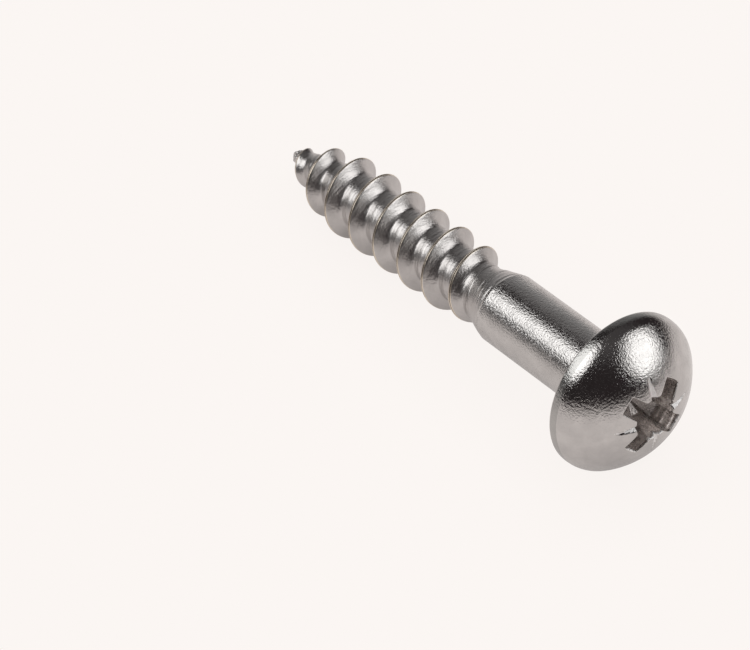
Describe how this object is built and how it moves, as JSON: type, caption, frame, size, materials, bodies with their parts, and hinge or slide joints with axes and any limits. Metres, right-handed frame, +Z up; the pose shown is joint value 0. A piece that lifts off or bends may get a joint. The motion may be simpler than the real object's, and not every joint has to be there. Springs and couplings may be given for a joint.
{
  "type": "wood screw",
  "caption": "Round-head wood screw with a type Z cross recess, a plain shank and a rolled right-hand thread with a gimlet point.",
  "frame": {"origin": "on the screw's axis, in the plane of the head's flat bearing face", "axes": "+X along the screw's axis, out through the head's dome towards the driver, with the point at -X; +Z up with the screw lying on its side"},
  "size_m": [0.0332, 0.01, 0.01],
  "materials": {
    "stainless_steel": "bare cold-formed stainless steel, near-mirror with a fine sandy grain"
  },
  "bodies": {
    "root": {"wood_screw": "stainless_steel"}
  },
  "joints": []
}
